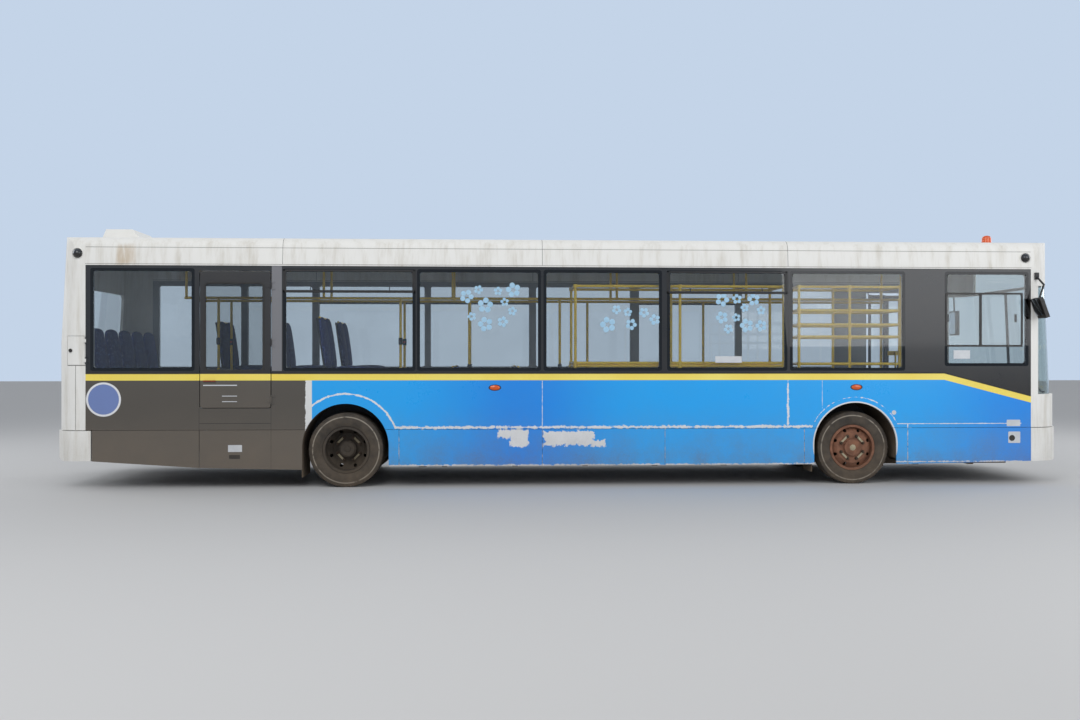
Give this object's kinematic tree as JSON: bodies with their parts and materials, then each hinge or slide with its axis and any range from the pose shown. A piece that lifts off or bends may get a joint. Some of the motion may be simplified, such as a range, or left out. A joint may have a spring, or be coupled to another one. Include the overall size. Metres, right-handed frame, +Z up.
{
  "type": "low floor airport passenger bus",
  "caption": "Single deck low floor airport bus with glazed saloon, folding entrance door, hinged emergency door and yellow luggage racks.",
  "frame": {"origin": "on the ground, under the middle of the bus's outline", "axes": "+X forward, +Y to the entrance side, +Z up"},
  "size_m": [11.6, 2.89, 2.992],
  "materials": {
    "chassis_frame": "satin black paint with road dirt",
    "floor": "speckled grey safety floor",
    "side_wall_right": "blue and charcoal paint, yellow stripe",
    "side_wall_left": "blue and charcoal paint, yellow stripe",
    "skirt_panels": "blue and charcoal paint, worn edges",
    "roof": "white paint",
    "front_moulding": "white gel coat",
    "front_bumper": "white gel coat, scuffed",
    "rear_moulding": "white gel coat",
    "rear_bumper": "white gel coat, scuffed",
    "front_glass": "clear tinted glass",
    "body_glass": "grey tinted glass",
    "window_frames": "black",
    "roof_fittings": "white and amber plastic",
    "lamps": "clear, amber and red lenses",
    "mirrors": "black",
    "wipers": "black",
    "arch_liners": "muddy black",
    "engine_block": "painted iron",
    "tanks": "black",
    "front_axle": "black paint",
    "rear_axle": "black paint",
    "dashboard": "grained black",
    "seats": "blue moquette",
    "cab_partition": "grey",
    "handrails": "yellow powder coat",
    "luggage_racks": "yellow powder coat",
    "steering_wheel": "black",
    "knuckle_left": "rusty",
    "knuckle_right": "rusty",
    "track_rod": "black",
    "front_tyre_left": "worn",
    "front_tyre_right": "worn",
    "front_rim_left": "rusty",
    "front_rim_right": "rusty",
    "rear_tyres_left": "worn",
    "rear_tyres_right": "worn",
    "rear_rims_left": "dirty",
    "rear_rims_right": "dirty",
    "emergency_door": "charcoal",
    "door_panel_front": "black frame with tinted pane",
    "door_panel_rear": "black frame with tinted pane",
    "door_leaf_front": "black frame with tinted pane",
    "door_leaf_rear": "black frame with tinted pane",
    "cab_door": "grey",
    "engine_cover": "white",
    "corner_flap": "white"
  },
  "bodies": {
    "body": {"chassis_frame": "chassis_frame", "floor": "floor", "side_wall_right": "side_wall_right", "side_wall_left": "side_wall_left", "skirt_panels": "skirt_panels", "roof": "roof", "front_moulding": "front_moulding", "front_bumper": "front_bumper", "rear_moulding": "rear_moulding", "rear_bumper": "rear_bumper", "front_glass": "front_glass", "body_glass": "body_glass", "window_frames": "window_frames", "roof_fittings": "roof_fittings", "lamps": "lamps", "mirrors": "mirrors", "wipers": "wipers", "arch_liners": "arch_liners", "engine_block": "engine_block", "tanks": "tanks", "front_axle": "front_axle", "rear_axle": "rear_axle", "dashboard": "dashboard", "seats": "seats", "cab_partition": "cab_partition", "handrails": "handrails", "luggage_racks": "luggage_racks"},
    "steering_wheel": {"steering_wheel": "steering_wheel"},
    "knuckle_right": {"knuckle_right": "knuckle_right"},
    "knuckle_left": {"knuckle_left": "knuckle_left"},
    "track_rod": {"track_rod": "track_rod"},
    "wheel_front_left": {"front_tyre_left": "front_tyre_left", "front_rim_left": "front_rim_left"},
    "wheel_front_right": {"front_tyre_right": "front_tyre_right", "front_rim_right": "front_rim_right"},
    "wheels_rear_left": {"rear_tyres_left": "rear_tyres_left", "rear_rims_left": "rear_rims_left"},
    "wheels_rear_right": {"rear_tyres_right": "rear_tyres_right", "rear_rims_right": "rear_rims_right"},
    "emergency_door": {"emergency_door": "emergency_door"},
    "door_panel_front": {"door_panel_front": "door_panel_front"},
    "door_leaf_front": {"door_leaf_front": "door_leaf_front"},
    "door_panel_rear": {"door_panel_rear": "door_panel_rear"},
    "door_leaf_rear": {"door_leaf_rear": "door_leaf_rear"},
    "cab_door": {"cab_door": "cab_door"},
    "engine_cover": {"engine_cover": "engine_cover"},
    "corner_flap": {"corner_flap": "corner_flap"}
  },
  "joints": [
    {"name": "steer_right", "type": "hinge", "parent": "body", "child": "knuckle_right", "pos_m": [3.25, -0.85, 0.42], "axis": [0, 0, 1], "range_deg": [-40, 40]},
    {"name": "steer_left", "type": "hinge", "parent": "body", "child": "knuckle_left", "pos_m": [3.25, 0.85, 0.42], "axis": [0, 0, 1], "range_deg": [-40, 40]},
    {"name": "track_rod_pin", "type": "hinge", "parent": "knuckle_left", "child": "track_rod", "pos_m": [3.07, 0.85, 0.26], "axis": [0, 0, 1], "range_deg": [-40, 40]},
    {"name": "steering_wheel_turn", "type": "hinge", "parent": "body", "child": "steering_wheel", "pos_m": [5.04, -0.7, 1.13], "axis": [-0.4226, 0, 0.9063], "range_deg": [-720, 720]},
    {"name": "wheel_front_left_spin", "type": "hinge", "parent": "knuckle_left", "child": "wheel_front_left", "pos_m": [3.25, 1.01, 0.42], "axis": [0, 1, 0], "continuous": true},
    {"name": "wheel_front_right_spin", "type": "hinge", "parent": "knuckle_right", "child": "wheel_front_right", "pos_m": [3.25, -1.01, 0.42], "axis": [0, 1, 0], "continuous": true},
    {"name": "wheels_rear_left_spin", "type": "hinge", "parent": "body", "child": "wheels_rear_left", "pos_m": [-2.575, 0.92, 0.42], "axis": [0, 1, 0], "continuous": true},
    {"name": "wheels_rear_right_spin", "type": "hinge", "parent": "body", "child": "wheels_rear_right", "pos_m": [-2.575, -0.92, 0.42], "axis": [0, 1, 0], "continuous": true},
    {"name": "emergency_door_hinge", "type": "hinge", "parent": "body", "child": "emergency_door", "pos_m": [-3.399, -1.229, 1.6], "axis": [0, 0, 1], "range_deg": [0, 100]},
    {"name": "entrance_post_front", "type": "hinge", "parent": "body", "child": "door_panel_front", "pos_m": [5.25, 1.204, 1.35], "axis": [0, 0, 1], "range_deg": [0, 90]},
    {"name": "entrance_fold_front", "type": "hinge", "parent": "door_panel_front", "child": "door_leaf_front", "pos_m": [5.01, 1.204, 1.35], "axis": [0, 0, 1], "range_deg": [-180, 0]},
    {"name": "entrance_post_rear", "type": "hinge", "parent": "body", "child": "door_panel_rear", "pos_m": [4.29, 1.204, 1.35], "axis": [0, 0, -1], "range_deg": [0, 90]},
    {"name": "entrance_fold_rear", "type": "hinge", "parent": "door_panel_rear", "child": "door_leaf_rear", "pos_m": [4.53, 1.204, 1.35], "axis": [0, 0, -1], "range_deg": [-180, 0]},
    {"name": "cab_door_hinge", "type": "hinge", "parent": "body", "child": "cab_door", "pos_m": [4.345, -0.285, 0.9], "axis": [0, 0, 1], "range_deg": [0, 95]},
    {"name": "engine_cover_hinge", "type": "hinge", "parent": "body", "child": "engine_cover", "pos_m": [-5.789, 0, 1.281], "axis": [0, 1, 0], "range_deg": [0, 75]},
    {"name": "corner_flap_hinge", "type": "hinge", "parent": "body", "child": "corner_flap", "pos_m": [-5.433, -1.227, 1.54], "axis": [0, 0, 1], "range_deg": [0, 100]}
  ],
  "couplings": [
    {"joint": "steer_left", "follows": "steer_right", "ratio": 1},
    {"joint": "track_rod_pin", "follows": "steer_right", "ratio": -1},
    {"joint": "steering_wheel_turn", "follows": "steer_right", "ratio": 18},
    {"joint": "entrance_fold_front", "follows": "entrance_post_front", "ratio": -2},
    {"joint": "entrance_post_rear", "follows": "entrance_post_front", "ratio": 1},
    {"joint": "entrance_fold_rear", "follows": "entrance_post_front", "ratio": -2}
  ]
}
